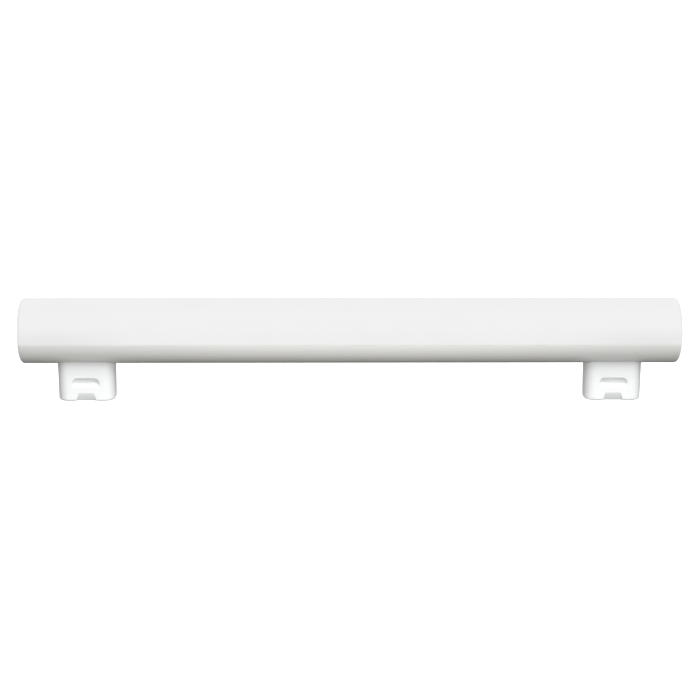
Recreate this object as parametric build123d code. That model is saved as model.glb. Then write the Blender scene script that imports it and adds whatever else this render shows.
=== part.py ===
from build123d import *
import math
import os

# Linear lamp, millimetres, +Z up. X runs along the tube, the two caps point down,
# and the origin lies on the plane of the cap feet, midway between the caps.

# Tube: an opal cover on a white base, sealed for life
tube_length = 300.0
tube_diameter = 29.8
tube_edge_radius = 1.8  # rounding of the tube's two end rims
joint_drop = 3.6  # joint of cover and base, below the tube's axis
joint_gap = 0.1  # height of the fine shadow line along the joint
joint_depth = 0.3  # how far that line goes in

# Caps
cap_inset = 29.4  # centre of a cap, in from the tube's end
cap_width = 25.8  # along the tube, at the foot
cap_depth = 13.8  # across the tube, at the foot
cap_drop = 16.85  # foot of a cap, below the tube's underside
cap_corner_radius = 5.0
cap_draft = 0.6  # degrees, the cap widens towards the tube
foot_radius = 1.0
saddle_clearance = 0.06  # cement between a cap and the tube

# Plug on top of a cap, which holds it in the base
plug_width = 15.0
plug_depth = 7.0
plug_height = 4.5  # above the tube's underside
plug_clearance = 0.1

# Catch on the front and back of a cap: a shallow pocket with a ledge on top and a ramp at its lower end
catch_height = 10.9  # ledge above the foot
catch_length = 4.4  # from the ledge down to the end of the ramp
catch_depth = 1.9
catch_ramp = 1.2  # height of the ramp
catch_top_width = 9.4
catch_width = 12.4
catch_shoulder = 1.3  # height of the slanting corners
ledge_radius = 0.2  # rounding of the ledge's rim

# Lead-in at the foot, in line with the catch
lead_height = 3.95
lead_depth = 1.6
lead_round = 17.0  # radius of its bulging face
lead_top_width = 7.0
lead_foot_width = 9.4
cut_overrun = 1.0  # how far these two cuts go on outside the cap

# Window in the foot, with the contact strip on its roof
window_width = 12.4
window_depth = 6.0
window_height = 2.6
window_radius = 1.0
contact_width = 11.6
contact_depth = 4.8
contact_thickness = 0.6
contact_bend = 0.4  # inside radius where the strip turns up
contact_leg = 3.4  # how far its legs go up into the cap
contact_clearance = 0.1

tube_radius = tube_diameter / 2
axis_height = cap_drop + tube_radius
joint_height = axis_height - joint_drop
cap_offset = tube_length / 2 - cap_inset


def lying_cylinder(radius, length, across, height):
    return Pos(0, across, height) * Rot(0, 90, 0) * Cylinder(radius, length)


def sealed_tube():
    tube = lying_cylinder(tube_radius, tube_length, 0, axis_height)
    return fillet(tube.edges().filter_by(GeomType.CIRCLE), tube_edge_radius)


def slab(length, width, low, high):
    upright = (Align.CENTER, Align.CENTER, Align.MIN)
    return Pos(0, 0, low) * Box(length, width, high - low, align=upright)


def make_cover():
    return sealed_tube() & slab(tube_length, tube_diameter, joint_height, axis_height + tube_radius)


def joint_line():
    half_chord = math.sqrt(tube_radius**2 - joint_drop**2)
    low = joint_height - joint_gap
    inner_length = tube_length - 2 * joint_depth
    inner_width = 2 * (half_chord - joint_depth)
    outer = slab(tube_length, tube_diameter, low, joint_height)
    return outer - slab(inner_length, inner_width, low, joint_height)


def make_base():
    base = sealed_tube() & slab(tube_length, tube_diameter, axis_height - tube_radius, joint_height)
    base -= joint_line()
    for place in (-cap_offset, cap_offset):
        base -= Pos(place, 0, 0) * cap_plug(plug_clearance)
    return base


def cap_plug(clearance):
    plan = SlotOverall(plug_width + 2 * clearance, plug_depth + 2 * clearance)
    top = cap_drop + plug_height + clearance
    return extrude(Pos(0, 0, catch_height) * plan, top - catch_height)


def cap_shank():
    plan = RectangleRounded(cap_width, cap_depth, cap_corner_radius)
    shank = extrude(plan, axis_height, taper=-cap_draft)
    shank = fillet(shank.faces().sort_by(Axis.Z)[0].edges(), foot_radius)
    return shank - lying_cylinder(tube_radius + saddle_clearance, tube_length, 0, axis_height)


def front_face(height):
    # how far out the drafted front of a cap lies
    return -cap_depth / 2 - height * math.tan(math.radians(cap_draft))


def face_prism(*points):
    return extrude(Plane.XZ * make_face(Polyline(*points, close=True)), cap_depth, both=True)


def catch_cut():
    shoulder = catch_height - catch_shoulder
    outline = face_prism(
        (-catch_top_width / 2, catch_height),
        (catch_top_width / 2, catch_height),
        (catch_width / 2, shoulder),
        (catch_width / 2, 0),
        (-catch_width / 2, 0),
        (-catch_width / 2, shoulder),
    )
    ramp_end = catch_height - catch_length
    section = Polyline(
        (catch_depth, catch_height),
        (catch_depth, ramp_end + catch_ramp),
        (-cut_overrun, ramp_end - cut_overrun * catch_ramp / catch_depth),
        (-cut_overrun, catch_height),
        close=True,
    )
    pocket = extrude(Plane.YZ * make_face(section), cap_width / 2, both=True)
    return outline & Pos(0, front_face(ramp_end), 0) * pocket


def lead_cut():
    tip_height = lead_height * lead_foot_width / (lead_foot_width - lead_top_width)
    outline = face_prism((-lead_foot_width / 2, 0), (lead_foot_width / 2, 0), (0, tip_height))
    block = outline & slab(cap_width, 2 * cap_depth, 0, lead_height + cut_overrun)
    # what stays is round: it meets the face at the top of the lead-in, and the foot at its full depth
    chord = math.hypot(lead_depth, lead_height)
    inward = math.sqrt(lead_round**2 - (chord / 2) ** 2) / chord
    round_axis = front_face(lead_height) + lead_depth / 2 + inward * lead_height
    return block - lying_cylinder(lead_round, cap_width, round_axis, lead_height / 2 + inward * lead_depth)


def ledge_rims(cap):
    shoulder = catch_height - catch_shoulder
    straight = cap.edges().filter_by(GeomType.LINE)
    around_ledge = straight.filter_by_position(Axis.Z, shoulder, catch_height + ledge_radius)
    return around_ledge.filter_by(lambda edge: abs(edge.center().Y) > cap_depth / 2)


def contact_strip(clearance):
    floor = window_height - contact_thickness
    height = contact_leg + contact_thickness
    inner_width = contact_width - 2 * contact_thickness - 2 * clearance
    middle_low = (Align.CENTER, Align.MIN)
    outer = Rectangle(contact_width + 2 * clearance, height, align=middle_low)
    outer = fillet(outer.vertices().group_by(Axis.Y)[0], contact_bend + contact_thickness)
    inner = Pos(0, contact_thickness) * Rectangle(inner_width, height, align=middle_low)
    inner = fillet(inner.vertices().group_by(Axis.Y)[0], contact_bend)
    profile = Pos(0, floor) * (outer - inner)
    return extrude(Plane.XZ * profile, contact_depth / 2 + clearance, both=True)


def make_cap():
    cap = cap_shank() + cap_plug(0)
    for turn in (0, 180):
        cap -= Rot(0, 0, turn) * catch_cut()
        cap -= Rot(0, 0, turn) * lead_cut()
    cap = fillet(ledge_rims(cap), ledge_radius)
    cap -= extrude(RectangleRounded(window_width, window_depth, window_radius), window_height)
    return cap - contact_strip(contact_clearance)


def make_contact():
    return contact_strip(0)


os.makedirs("parts", exist_ok=True)
export_step(make_cover(), "parts/cover.step")
export_step(make_base(), "parts/base.step")
for side, place in (("left", -cap_offset), ("right", cap_offset)):
    export_step(Pos(place, 0, 0) * make_cap(), f"parts/{side}_cap.step")
    export_step(Pos(place, 0, 0) * make_contact(), f"parts/{side}_contact.step")
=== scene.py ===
import math

import bmesh
import bpy
from mathutils import Matrix, Vector


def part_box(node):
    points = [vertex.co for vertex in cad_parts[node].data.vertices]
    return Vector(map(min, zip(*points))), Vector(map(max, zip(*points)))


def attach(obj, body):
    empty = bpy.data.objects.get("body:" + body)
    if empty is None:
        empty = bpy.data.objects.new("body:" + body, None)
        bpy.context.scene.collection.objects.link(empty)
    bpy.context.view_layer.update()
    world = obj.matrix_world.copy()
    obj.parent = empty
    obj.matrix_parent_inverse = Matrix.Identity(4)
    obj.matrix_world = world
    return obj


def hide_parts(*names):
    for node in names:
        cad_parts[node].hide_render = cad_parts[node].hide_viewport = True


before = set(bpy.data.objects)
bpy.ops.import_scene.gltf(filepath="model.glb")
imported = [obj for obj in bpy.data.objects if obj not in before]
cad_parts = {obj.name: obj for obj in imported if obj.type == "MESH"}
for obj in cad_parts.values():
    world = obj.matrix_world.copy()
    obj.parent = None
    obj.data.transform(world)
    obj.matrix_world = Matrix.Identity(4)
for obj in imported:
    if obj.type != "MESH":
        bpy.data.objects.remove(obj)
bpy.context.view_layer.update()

coverLow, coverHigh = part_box("cover")
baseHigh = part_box("base")[1]
print("frame loaded:", len(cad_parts), "nodes")

mm = 0.001
noiseRoughness = 0.55
noiseSpan = (0.3, 0.7)  # where most of a noise's values lie
colourA, colourB, colourOut = 6, 7, 2  # sockets of a Mix node that blends colours
plainWhite = (1.0, 1.0, 1.0, 1.0)


# Node helpers, shared by the finishes and the sky

def newFinish(name):
    finish = bpy.data.materials.new(name)
    finish.use_nodes = True
    return finish


def shaderSockets(finish):
    return finish.node_tree.nodes["Principled BSDF"].inputs


def noisePattern(tree, perMetre, detail):
    # cells per metre along x, y and z: few along one axis pull the noise out into lines
    coords = tree.nodes.new("ShaderNodeTexCoord")
    mapping = tree.nodes.new("ShaderNodeMapping")
    mapping.inputs["Scale"].default_value = perMetre
    tree.links.new(coords.outputs["Object"], mapping.inputs["Vector"])
    noise = tree.nodes.new("ShaderNodeTexNoise")
    noise.inputs["Scale"].default_value = 1.0
    noise.inputs["Detail"].default_value = detail
    noise.inputs["Roughness"].default_value = noiseRoughness
    tree.links.new(mapping.outputs["Vector"], noise.inputs["Vector"])
    return noise.outputs["Fac"]


def mapped(tree, value, fromSpan, toSpan):
    remap = tree.nodes.new("ShaderNodeMapRange")
    limitNames = ("From Min", "From Max", "To Min", "To Max")
    for limitName, limit in zip(limitNames, (*fromSpan, *toSpan)):
        remap.inputs[limitName].default_value = limit
    tree.links.new(value, remap.inputs["Value"])
    return remap.outputs["Result"]


def tinted(tree, value, dark, light):
    ramp = tree.nodes.new("ShaderNodeValToRGB")
    for stop, colour in zip(ramp.color_ramp.elements, (dark, light)):
        stop.color = (*colour, 1.0)
    tree.links.new(value, ramp.inputs["Fac"])
    return ramp.outputs["Color"]


def bumped(tree, height, strength, distance):
    bump = tree.nodes.new("ShaderNodeBump")
    bump.inputs["Strength"].default_value = strength
    bump.inputs["Distance"].default_value = distance
    tree.links.new(height, bump.inputs["Height"])
    return bump.outputs["Normal"]


def numberStep(tree, operation, first, second=0.0):
    step = tree.nodes.new("ShaderNodeMath")
    step.operation = operation
    for socket, value in zip(step.inputs, (first, second)):
        if isinstance(value, float):
            socket.default_value = value
        else:
            tree.links.new(value, socket)
    return step.outputs["Value"]


def vectorStep(tree, operation, vector, constant=None):
    step = tree.nodes.new("ShaderNodeVectorMath")
    step.operation = operation
    tree.links.new(vector, step.inputs[0])
    if constant:
        step.inputs[1].default_value = constant
    return step


def texturedFinish(name, look):
    # clouds tint the surface, grain gives it roughness and relief
    finish = newFinish(name)
    tree, sockets = finish.node_tree, shaderSockets(finish)
    clouds = noisePattern(tree, look["clouds"], look["cloudDetail"])
    grain = noisePattern(tree, look["grain"], look["grainDetail"])
    relief = bumped(tree, grain, look["grainStrength"], look["grainHeight"])
    tree.links.new(tinted(tree, clouds, look["dark"], look["light"]), sockets["Base Color"])
    tree.links.new(mapped(tree, grain, noiseSpan, look["roughness"]), sockets["Roughness"])
    tree.links.new(relief, sockets["Normal"])
    sockets["IOR"].default_value = look["ior"]
    return finish


# Tube, turned as one closed body and then parted at the joint

tubeForm = {
    "radius": (coverHigh.y - coverLow.y) / 2,
    "halfLength": (coverHigh.x - coverLow.x) / 2,
    "axisHeight": coverHigh.z - (coverHigh.y - coverLow.y) / 2,
    "endRings": (0.0, 0.3, 0.6, 0.85),  # on each flat end, as shares of the radius
    "rimRadius": 1.8 * mm,
    "rimSteps": 8,
    "around": 192,
    "along": 60,
    "sharpFrom": 40.0,  # degrees between two faces that keep a sharp edge
}


def tubeProfile(form):
    # points (x, radius) from the middle of one end to the middle of the other
    reach, radius, rim = form["halfLength"], form["radius"], form["rimRadius"]
    half = [(-reach, radius * share) for share in form["endRings"]]
    for step in range(form["rimSteps"] + 1):
        turn = math.pi / 2 * step / form["rimSteps"]
        half.append((-reach + rim - rim * math.cos(turn), radius - rim + rim * math.sin(turn)))
    inner = reach - rim
    places = [-inner + 2 * inner * step / form["along"] for step in range(1, form["along"])]
    return half + [(x, radius) for x in places] + [(-x, r) for x, r in reversed(half)]


def turnedTube(form):
    mesh = bmesh.new()
    rings = []
    for x, radius in tubeProfile(form):
        count = form["around"] if radius else 1  # one point in the middle of an end
        ring = []
        for step in range(count):
            turn = 2 * math.pi * step / count
            height = form["axisHeight"] + radius * math.sin(turn)
            ring.append(mesh.verts.new((x, radius * math.cos(turn), height)))
        rings.append(ring)
    for first, second in zip(rings, rings[1:]):
        for step in range(form["around"]):
            after = (step + 1) % form["around"]
            corners = [first[step % len(first)], first[after % len(first)]]
            corners += [second[after % len(second)], second[step % len(second)]]
            mesh.faces.new(list(dict.fromkeys(corners)))  # a triangle next to an end's middle
    bmesh.ops.recalc_face_normals(mesh, faces=mesh.faces)
    return mesh


def partedAt(mesh, height, keepUpper):
    # cuts the tube level at this height and returns the face that closes it
    cut = bmesh.ops.bisect_plane(
        mesh,
        geom=mesh.verts[:] + mesh.edges[:] + mesh.faces[:],
        plane_co=(0, 0, height),
        plane_no=(0, 0, 1),
        clear_inner=keepUpper,
        clear_outer=not keepUpper,
    )
    rim = [item for item in cut["geom_cut"] if isinstance(item, bmesh.types.BMEdge)]
    filled = bmesh.ops.contextual_create(mesh, geom=rim)
    return filled["faces"][0]


def newObject(mesh, name):
    data = bpy.data.meshes.new(name)
    mesh.to_mesh(data)
    mesh.free()
    made = bpy.data.objects.new(name, data)
    bpy.context.scene.collection.objects.link(made)
    return made


def asPiece(mesh, name, finish):
    piece = newObject(mesh, name)
    piece.data.materials.append(finish)
    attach(piece, "root")
    return piece


def smoothed(piece, degrees):
    piece.data.shade_smooth()
    piece.data.set_sharp_from_angle(angle=math.radians(degrees))


coverLook = {
    # low base colour, so that the painted glow gives most of the cover's brightness
    "dark": (0.27, 0.27, 0.27),
    "light": (0.30, 0.30, 0.30),
    "clouds": (60.0, 60.0, 60.0),
    "cloudDetail": 2.0,
    "grain": (6.0, 900.0, 900.0),  # fine lines along the tube
    "grainDetail": 4.0,
    "grainStrength": 0.25,
    "grainHeight": 0.01 * mm,
    "roughness": (0.40, 0.52),
    "ior": 1.49,
    "specular": 0.3,
    "paintedGlow": 0.622,  # painted light: an even glow in place of the light that falls on the opal all round
    "brightest": 8.0 * mm,  # height above the axis where most light falls on it
    "paintedTopLight": 0.08,  # painted light added towards the top
    "topBend": 4.0,
    "paintedLowLight": 0.10,  # painted light added down to the white base, in place of light thrown back up from it
    "lowBend": 1.5,
    "paintedEndShade": 0.056,  # painted shade taken off low down near the two ends
    "endHeights": (4.5 * mm, -1.0 * mm),  # above the axis
    "endReach": (98.0 * mm, 128.0 * mm),  # from the middle of the tube
    "paintedJointShade": 0.055,  # painted shade taken off along the joint
    "edgeReach": 1.1 * mm,
    "underDark": (0.78, 0.78, 0.77),  # flat underside, which rests on the base
    "underLight": (0.84, 0.84, 0.83),
    "underClouds": (400.0, 400.0, 400.0),
    "underDetail": 4.0,
    "underRoughness": 0.52,
    "paintedUnderGlow": 0.3,  # painted light on the hidden underside, less than above, so a fine shade stays in the joint
}


def bentShare(tree, value, span, bend, amount):
    share = mapped(tree, value, span, (0.0, 1.0))
    bent = numberStep(tree, "POWER", share, bend)
    return numberStep(tree, "MULTIPLY", bent, amount)


def paintedOpalGlow(tree, look):
    # painted light: the glow is raised where less light falls on the cover, so its shading
    # comes out even
    coords = tree.nodes.new("ShaderNodeTexCoord")
    split = tree.nodes.new("ShaderNodeSeparateXYZ")
    tree.links.new(coords.outputs["Object"], split.inputs["Vector"])
    outward = numberStep(tree, "ABSOLUTE", split.outputs["X"])
    height = numberStep(tree, "SUBTRACT", split.outputs["Z"], tubeForm["axisHeight"])
    lowest = coverLow.z - tubeForm["axisHeight"]
    upward, downward = (look["brightest"], tubeForm["radius"]), (look["brightest"], lowest)
    paintedTopLight = bentShare(tree, height, upward, look["topBend"], look["paintedTopLight"])
    paintedLowLight = bentShare(tree, height, downward, look["lowBend"], look["paintedLowLight"])
    # painted shade: the glow is lowered low down near the two ends and along the joint
    nearEnd = mapped(tree, outward, look["endReach"], (0.0, look["paintedEndShade"]))
    lowDown = mapped(tree, height, look["endHeights"], (0.0, 1.0))
    paintedEndShade = numberStep(tree, "MULTIPLY", nearEnd, lowDown)
    nearJoint = (lowest + look["edgeReach"], lowest)
    paintedJointShade = mapped(tree, height, nearJoint, (0.0, look["paintedJointShade"]))
    paintedGlow = numberStep(tree, "ADD", paintedTopLight, look["paintedGlow"])
    paintedGlow = numberStep(tree, "ADD", paintedGlow, paintedLowLight)
    paintedGlow = numberStep(tree, "SUBTRACT", paintedGlow, paintedEndShade)
    return numberStep(tree, "SUBTRACT", paintedGlow, paintedJointShade)


def opalFinish(look):
    finish = texturedFinish("opalWhite", look)
    tree, sockets = finish.node_tree, shaderSockets(finish)
    sockets["Specular IOR Level"].default_value = look["specular"]
    # the cover's emission is the painted glow, which stands in for light and shade
    tree.links.new(paintedOpalGlow(tree, look), sockets["Emission Color"])
    sockets["Emission Strength"].default_value = 1.0
    return finish


def undersideFinish(look):
    finish = newFinish("opalUnderside")
    tree, sockets = finish.node_tree, shaderSockets(finish)
    clouds = noisePattern(tree, look["underClouds"], look["underDetail"])
    colour = tinted(tree, clouds, look["underDark"], look["underLight"])
    tree.links.new(colour, sockets["Base Color"])
    # painted light: the underside glows in its own colour, which lightens the joint
    tree.links.new(colour, sockets["Emission Color"])
    sockets["Emission Strength"].default_value = look["paintedUnderGlow"]
    sockets["Roughness"].default_value = look["underRoughness"]
    return finish


def makeCover(look):
    mesh = turnedTube(tubeForm)
    underside = partedAt(mesh, coverLow.z, True)
    underside.material_index = 1
    cover = asPiece(mesh, "opal_cover", opalFinish(look))
    cover.data.materials.append(undersideFinish(look))
    smoothed(cover, tubeForm["sharpFrom"])
    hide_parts("cover")


makeCover(coverLook)
print("opal cover turned and parted")

baseLook = {
    "dark": (0.91, 0.91, 0.89),
    "light": (0.94, 0.94, 0.92),
    "clouds": (45.0, 45.0, 45.0),
    "cloudDetail": 3.0,
    "grain": (8.0, 700.0, 700.0),  # fine lines along the tube
    "grainDetail": 4.0,
    "grainStrength": 0.3,
    "grainHeight": 0.02 * mm,
    "roughness": (0.26, 0.38),
    "ior": 1.5,
    "shelfGap": 0.1 * mm,  # the shadow line between base and cover
    "shelfInset": 0.3 * mm,
    "pocketWidth": 15.2 * mm,  # for the plug on top of each cap
    "pocketDepth": 7.2 * mm,
    "pocketSpare": 0.1 * mm,  # above the plug
    "pocketSteps": 25,  # around each round end, odd so that none lies on the tube's lowest line
}


def pocketCutter(look, capName):
    capLow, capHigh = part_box(capName)
    middle = (capLow.x + capHigh.x) / 2
    radius = look["pocketDepth"] / 2
    mesh = bmesh.new()
    outline = []
    for end in (1, -1):
        centre = middle + end * (look["pocketWidth"] / 2 - radius)
        for step in range(look["pocketSteps"] + 1):
            turn = math.pi * (step / look["pocketSteps"] - 0.5)
            x, y = centre + end * radius * math.cos(turn), end * radius * math.sin(turn)
            outline.append(mesh.verts.new((x, y, capLow.z)))
    foot = mesh.faces.new(outline)
    raised = bmesh.ops.extrude_face_region(mesh, geom=[foot])
    top = [item for item in raised["geom"] if isinstance(item, bmesh.types.BMVert)]
    rise = capHigh.z + look["pocketSpare"] - capLow.z
    bmesh.ops.translate(mesh, verts=top, vec=(0, 0, rise))
    bmesh.ops.recalc_face_normals(mesh, faces=mesh.faces)
    return newObject(mesh, "pocket")


def cutPocket(piece, cutter):
    cut = piece.modifiers.new("pocket", "BOOLEAN")
    cut.operation = "DIFFERENCE"
    cut.solver = "EXACT"
    cut.object = cutter
    evaluated = piece.evaluated_get(bpy.context.evaluated_depsgraph_get())
    piece.data = bpy.data.meshes.new_from_object(evaluated)
    piece.modifiers.clear()
    bpy.data.objects.remove(cutter)


def makeBase(look):
    mesh = turnedTube(tubeForm)
    top = partedAt(mesh, baseHigh.z - look["shelfGap"], False)
    bmesh.ops.inset_region(mesh, faces=[top], thickness=look["shelfInset"])
    raised = bmesh.ops.extrude_discrete_faces(mesh, faces=[top])
    bmesh.ops.translate(mesh, verts=raised["faces"][0].verts, vec=(0, 0, look["shelfGap"]))
    base = asPiece(mesh, "white_base", texturedFinish("baseWhite", look))
    for capName in ("left_cap", "right_cap"):
        cutPocket(base, pocketCutter(look, capName))
    smoothed(base, tubeForm["sharpFrom"])
    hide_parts("base")


makeBase(baseLook)
print("white base turned, parted and pocketed")

# Caps and contacts, which keep the shapes of their solids

capLook = {
    "dark": (0.905, 0.925, 0.92),
    "light": (0.945, 0.965, 0.96),
    "clouds": (120.0, 120.0, 120.0),
    "cloudDetail": 3.0,
    "grain": (2600.0, 2600.0, 2600.0),  # matt skin of the moulding
    "grainDetail": 3.0,
    "grainStrength": 0.25,
    "grainHeight": 0.03 * mm,
    "roughness": (0.38, 0.52),
    "ior": 1.5,
}

contactLook = {
    "dark": (0.50, 0.47, 0.40),
    "light": (0.78, 0.75, 0.68),
    "clouds": (350.0, 350.0, 350.0),  # tarnish
    "cloudDetail": 5.0,
    "grain": (200.0, 6000.0, 2000.0),  # scratches along the strip
    "grainDetail": 6.0,
    "grainStrength": 0.4,
    "grainHeight": 0.01 * mm,
    "roughness": (0.18, 0.42),
    "ior": 1.5,
}


def contactFinish(look):
    finish = texturedFinish("platedContact", look)
    shaderSockets(finish)["Metallic"].default_value = 1.0
    return finish


def dressNodes(names, finish):
    for name in names:
        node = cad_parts[name]
        node.data.materials.clear()
        node.data.materials.append(finish)


dressNodes(("left_cap", "right_cap"), texturedFinish("capWhite", capLook))
dressNodes(("left_contact", "right_contact"), contactFinish(contactLook))
print("caps and contacts dressed")

# Floor, sky, camera and soft boxes

stageLook = {
    "floorHalf": 12.0,
    "floorCells": 8,
    "floorColour": (0.93, 0.93, 0.93),
    "floorRoughness": 0.9,
    "floorGlow": 0.95,
    "skyEven": 0.06,
    "skyFront": 1.25,  # added towards the camera
    "skyTurn": 14.0,  # degrees to the right of the camera
    "skyHigh": 0.6,  # share by which the front grows brighter higher up
    "skyRise": (0.3, 0.9),  # where it does, as the upward part of a direction
    "skyBelow": (0.126, 0.122, 0.113),
    "horizon": (-0.1, 0.1),  # where the sky goes over into what lies below
    "backdrop": 1.2,  # plain white that only the camera sees
}


def makeFloor(look):
    mesh = bmesh.new()
    cells = look["floorCells"]
    bmesh.ops.create_grid(mesh, x_segments=cells, y_segments=cells, size=look["floorHalf"])
    floor = newObject(mesh, "floor")
    finish = newFinish("floorPale")
    sockets = shaderSockets(finish)
    sockets["Base Color"].default_value = (*look["floorColour"], 1.0)
    sockets["Roughness"].default_value = look["floorRoughness"]
    sockets["Emission Color"].default_value = plainWhite
    sockets["Emission Strength"].default_value = look["floorGlow"]
    floor.data.materials.append(finish)
    floor.visible_diffuse = False
    floor.visible_glossy = False
    floor.visible_shadow = False  # lets the bounce through


def skyColour(tree, look):
    coords = tree.nodes.new("ShaderNodeTexCoord")
    split = tree.nodes.new("ShaderNodeSeparateXYZ")
    direction, upward = coords.outputs["Generated"], split.outputs["Z"]
    tree.links.new(direction, split.inputs["Vector"])
    level = vectorStep(tree, "MULTIPLY", direction, (1.0, 1.0, 0.0))
    compass = vectorStep(tree, "NORMALIZE", level.outputs["Vector"])
    turn = math.radians(look["skyTurn"])
    front = (math.sin(turn), -math.cos(turn), 0.0)
    facing = vectorStep(tree, "DOT_PRODUCT", compass.outputs["Vector"], front)
    ahead = mapped(tree, facing.outputs["Value"], (0.0, 1.0), (0.0, look["skyFront"]))
    higher = mapped(tree, upward, look["skyRise"], (1.0, 1.0 + look["skyHigh"]))
    bright = numberStep(tree, "MULTIPLY", ahead, higher)
    bright = numberStep(tree, "ADD", bright, look["skyEven"])
    blend = tree.nodes.new("ShaderNodeMix")
    blend.data_type = "RGBA"
    tree.links.new(mapped(tree, upward, look["horizon"], (0.0, 1.0)), blend.inputs["Factor"])
    blend.inputs[colourA].default_value = (*look["skyBelow"], 1.0)
    tree.links.new(bright, blend.inputs[colourB])
    return blend.outputs[colourOut]


def makeSky(look):
    world = bpy.data.worlds.new("studio")
    bpy.context.scene.world = world
    world.use_nodes = True
    tree = world.node_tree
    sky = tree.nodes["Background"]
    tree.links.new(skyColour(tree, look), sky.inputs["Color"])
    backdrop = tree.nodes.new("ShaderNodeBackground")
    backdrop.inputs["Color"].default_value = plainWhite
    backdrop.inputs["Strength"].default_value = look["backdrop"]
    path = tree.nodes.new("ShaderNodeLightPath")
    choice = tree.nodes.new("ShaderNodeMixShader")
    tree.links.new(path.outputs["Is Camera Ray"], choice.inputs["Fac"])
    tree.links.new(sky.outputs["Background"], choice.inputs[1])
    tree.links.new(backdrop.outputs["Background"], choice.inputs[2])
    tree.links.new(choice.outputs["Shader"], tree.nodes["World Output"].inputs["Surface"])


cameraLook = {
    "azimuth": -0.7,  # degrees
    "elevation": 14.0,
    "roll": 0.1,
    "distance": 0.82,
    "aim": (0.0, 0.0, 22.4 * mm),
    "focalPixels": 1787.0,
    "framePixels": 700.0,
    "sensor": 36.0,
}


def makeCamera(look):
    data = bpy.data.cameras.new("camera")
    data.sensor_width = look["sensor"]
    data.lens = look["focalPixels"] * look["sensor"] / look["framePixels"]
    camera = bpy.data.objects.new("camera", data)
    bpy.context.scene.collection.objects.link(camera)
    turn, lift = math.radians(look["azimuth"]), math.radians(look["elevation"])
    level = math.cos(lift)
    back = Vector((math.sin(turn) * level, -math.cos(turn) * level, math.sin(lift)))
    camera.location = Vector(look["aim"]) + back * look["distance"]
    camera.rotation_euler = back.to_track_quat("Z", "Y").to_euler()
    camera.rotation_euler.rotate_axis("Z", math.radians(look["roll"]))
    bpy.context.scene.camera = camera


capPieces = ("left_cap", "right_cap", "left_contact", "right_contact")
softBoxes = {
    "key": {
        "place": (0.12, -0.55, 0.90),
        "turns": (0, 180),  # degrees around the lamp, one box each
        "size": (0.63, 0.46),
        "power": 7.7,
        "shine": True,  # whether the box shows in reflections
        "lights": capPieces,  # the only pieces that it lights
    },
    "fill": {
        "place": (0.01, -0.28, 0.12),
        "turns": (0, 180),
        "size": (0.16, 0.08),
        "power": 0.385,
        "shine": True,
        "lights": ("white_base",),
    },
    "end": {
        "place": (0.45, 0.0, 0.06),
        "turns": (0, 180),
        "size": (0.10, 0.10),
        "power": 0.28,
        "shine": True,
        "lights": ("white_base",),
    },
    "back": {
        "place": (0.0, 0.95, 0.45),
        "turns": (0,),
        "size": (0.30, 0.50),
        "power": 6.0,
        "shine": True,
        "lights": ("white_base", *capPieces),
    },
    "backCover": {
        "place": (0.0, 0.90, 0.04),
        "turns": (0,),
        "size": (0.30, 0.10),
        "power": 4.0,
        "shine": False,
        "lights": ("opal_cover",),
    },
    "bounce": {
        "place": (0.0, 0.0, -0.06),
        "turns": (0,),
        "size": (0.36, 0.60),
        "power": 0.23,
        "shine": True,
        "lights": capPieces,
    },
}


def makeSoftBox(name, look, turn):
    data = bpy.data.lights.new(name, "AREA")
    data.shape = "RECTANGLE"
    data.size, data.size_y = look["size"]
    data.energy = look["power"]
    box = bpy.data.objects.new(name, data)
    bpy.context.scene.collection.objects.link(box)
    box.location = Matrix.Rotation(math.radians(turn), 3, "Z") @ Vector(look["place"])
    toward = Vector(cameraLook["aim"]) - box.location
    box.rotation_euler = toward.to_track_quat("-Z", "Y").to_euler()
    box.visible_camera = False
    box.visible_glossy = look["shine"]
    lit = bpy.data.collections.new(name + "Lights")
    for piece in look["lights"]:
        lit.objects.link(bpy.data.objects[piece])
    box.light_linking.receiver_collection = lit


makeFloor(stageLook)
makeSky(stageLook)
for boxName, boxLook in softBoxes.items():
    for boxTurn in boxLook["turns"]:
        makeSoftBox(f"{boxName}{boxTurn}", boxLook, boxTurn)
makeCamera(cameraLook)
bpy.context.scene.view_settings.view_transform = "Standard"
print("floor, light and camera set")
